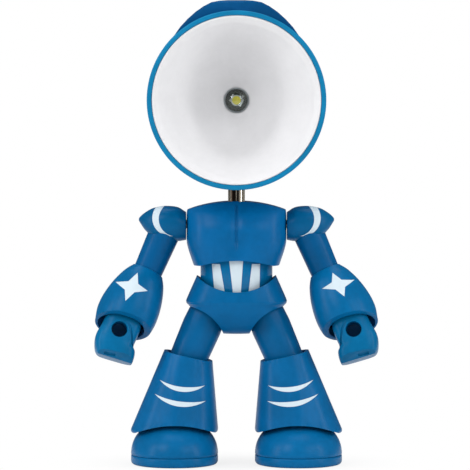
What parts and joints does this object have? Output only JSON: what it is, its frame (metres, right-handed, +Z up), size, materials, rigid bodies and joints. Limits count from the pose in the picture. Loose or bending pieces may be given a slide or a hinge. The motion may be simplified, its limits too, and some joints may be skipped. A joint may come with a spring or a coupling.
{
  "type": "robot shaped desk lamp",
  "caption": "Standing robot figure whose round shade head holds an LED; tilting, turning and rising head, swinging arms with grip holes, jointed waist and legs.",
  "frame": {"origin": "on the table, midway between the two feet", "axes": "+Z up, -Y the way the robot faces, -X the robot's right side"},
  "size_m": [0.1382, 0.06, 0.2178],
  "materials": {
    "blue_plastic": "satin moulded blue ABS",
    "dark_blue_plastic": "satin moulded dark blue ABS",
    "white_plastic": "matt white plastic",
    "board": "dark green circuit board",
    "led": "yellow phosphor LED",
    "lens": "clear dome",
    "chrome": "polished chrome plate",
    "wire": "insulated wire",
    "black_plastic": "black nylon",
    "brass": "sprung brass",
    "cell_steel": "nickel plated cell",
    "steel": "zinc plated steel"
  },
  "bodies": {
    "pelvis": {"pelvis_front_shell": "blue_plastic", "pelvis_rear_shell": "blue_plastic", "pelvis_screws": "steel", "hip_axle": "steel", "waist_pivot": "steel", "waist_clip": "steel"},
    "torso": {"chest_front_shell": "blue_plastic", "chest_rear_shell": "blue_plastic", "chest_screws": "steel", "abdomen_shell": "blue_plastic", "battery_door": "blue_plastic", "battery_door_screw": "steel", "battery_cells": "cell_steel", "battery_contacts": "brass", "circuit_board": "board", "switch_body": "black_plastic"},
    "switch_knob": {"switch_knob": "black_plastic"},
    "neck_collar": {"neck_collar": "black_plastic", "collar_clip": "steel"},
    "neck": {"neck_tube": "chrome", "neck_wires": "wire", "neck_stop_ring": "steel", "neck_knuckle": "chrome"},
    "head": {"shade_shell": "blue_plastic", "head_crest": "dark_blue_plastic", "reflector": "white_plastic", "led_board": "board", "led_emitter": "led", "led_lens": "lens", "lens_retainer": "white_plastic", "head_rear_cover": "dark_blue_plastic", "head_screws": "steel", "tilt_pin": "steel"},
    "right_arm": {"right_pauldron": "blue_plastic", "right_shoulder_axle": "steel", "right_upper_arm": "blue_plastic", "right_elbow_clip": "steel"},
    "right_forearm": {"right_gauntlet": "blue_plastic"},
    "right_hand": {"right_fist": "blue_plastic", "right_wrist_clip": "steel"},
    "right_thigh": {"right_thigh": "blue_plastic"},
    "right_shin": {"right_shin": "blue_plastic", "right_knee_pin": "steel", "right_ankle_pin": "steel"},
    "right_foot": {"right_foot": "blue_plastic", "right_foot_sole": "blue_plastic"},
    "left_arm": {"left_pauldron": "blue_plastic", "left_shoulder_axle": "steel", "left_upper_arm": "blue_plastic", "left_elbow_clip": "steel"},
    "left_forearm": {"left_gauntlet": "blue_plastic"},
    "left_hand": {"left_fist": "blue_plastic", "left_wrist_clip": "steel"},
    "left_thigh": {"left_thigh": "blue_plastic"},
    "left_shin": {"left_shin": "blue_plastic", "left_knee_pin": "steel", "left_ankle_pin": "steel"},
    "left_foot": {"left_foot": "blue_plastic", "left_foot_sole": "blue_plastic"}
  },
  "joints": [
    {"name": "waist_swivel", "type": "hinge", "parent": "pelvis", "child": "torso", "pos_m": [0, 0, 0.0784], "axis": [0, 0, 1], "range_deg": [-40, 40]},
    {"name": "switch_slide", "type": "slide", "parent": "torso", "child": "switch_knob", "axis": [1, 0, 0], "range_m": [0, 0.0025]},
    {"name": "neck_pan", "type": "hinge", "parent": "torso", "child": "neck_collar", "pos_m": [0, 0, 0.117], "axis": [0, 0, 1], "range_deg": [-90, 90]},
    {"name": "neck_lift", "type": "slide", "parent": "neck_collar", "child": "neck", "axis": [0, 0, 1], "range_m": [0, 0.025]},
    {"name": "head_tilt", "type": "hinge", "parent": "neck", "child": "head", "pos_m": [0, 0, 0.134], "axis": [1, 0, 0], "range_deg": [-45, 10]},
    {"name": "right_shoulder_swing", "type": "hinge", "parent": "torso", "child": "right_arm", "pos_m": [-0.032, 0, 0.1128], "axis": [-1, 0, 0], "range_deg": [-70, 100]},
    {"name": "right_forearm_swivel", "type": "hinge", "parent": "right_arm", "child": "right_forearm", "pos_m": [-0.04165, 0, 0.09061], "axis": [-0.3987, 0, -0.9171], "continuous": true},
    {"name": "right_wrist_swivel", "type": "hinge", "parent": "right_forearm", "child": "right_hand", "pos_m": [-0.04165, 0, 0.09061], "axis": [-0.4297, -0.2077, -0.8788], "continuous": true},
    {"name": "right_hip_swing", "type": "hinge", "parent": "pelvis", "child": "right_thigh", "pos_m": [-0.0143, 0, 0.069], "axis": [-1, 0, 0], "range_deg": [-15, 15]},
    {"name": "right_knee_bend", "type": "hinge", "parent": "right_thigh", "child": "right_shin", "pos_m": [-0.0249, 0, 0.0445], "axis": [1, 0, 0], "range_deg": [-8, 12]},
    {"name": "right_ankle_rock", "type": "hinge", "parent": "right_shin", "child": "right_foot", "pos_m": [-0.0292, 0, 0.025], "axis": [1, 0, 0], "range_deg": [-5, 5]},
    {"name": "left_shoulder_swing", "type": "hinge", "parent": "torso", "child": "left_arm", "pos_m": [0.032, 0, 0.1128], "axis": [-1, 0, 0], "range_deg": [-70, 100]},
    {"name": "left_forearm_swivel", "type": "hinge", "parent": "left_arm", "child": "left_forearm", "pos_m": [0.04165, 0, 0.09061], "axis": [0.3987, 0, -0.9171], "continuous": true},
    {"name": "left_wrist_swivel", "type": "hinge", "parent": "left_forearm", "child": "left_hand", "pos_m": [0.04165, 0, 0.09061], "axis": [0.4297, -0.2077, -0.8788], "continuous": true},
    {"name": "left_hip_swing", "type": "hinge", "parent": "pelvis", "child": "left_thigh", "pos_m": [0.0143, 0, 0.069], "axis": [-1, 0, 0], "range_deg": [-15, 15]},
    {"name": "left_knee_bend", "type": "hinge", "parent": "left_thigh", "child": "left_shin", "pos_m": [0.0249, 0, 0.0445], "axis": [1, 0, 0], "range_deg": [-8, 12]},
    {"name": "left_ankle_rock", "type": "hinge", "parent": "left_shin", "child": "left_foot", "pos_m": [0.0292, 0, 0.025], "axis": [1, 0, 0], "range_deg": [-5, 5]}
  ]
}
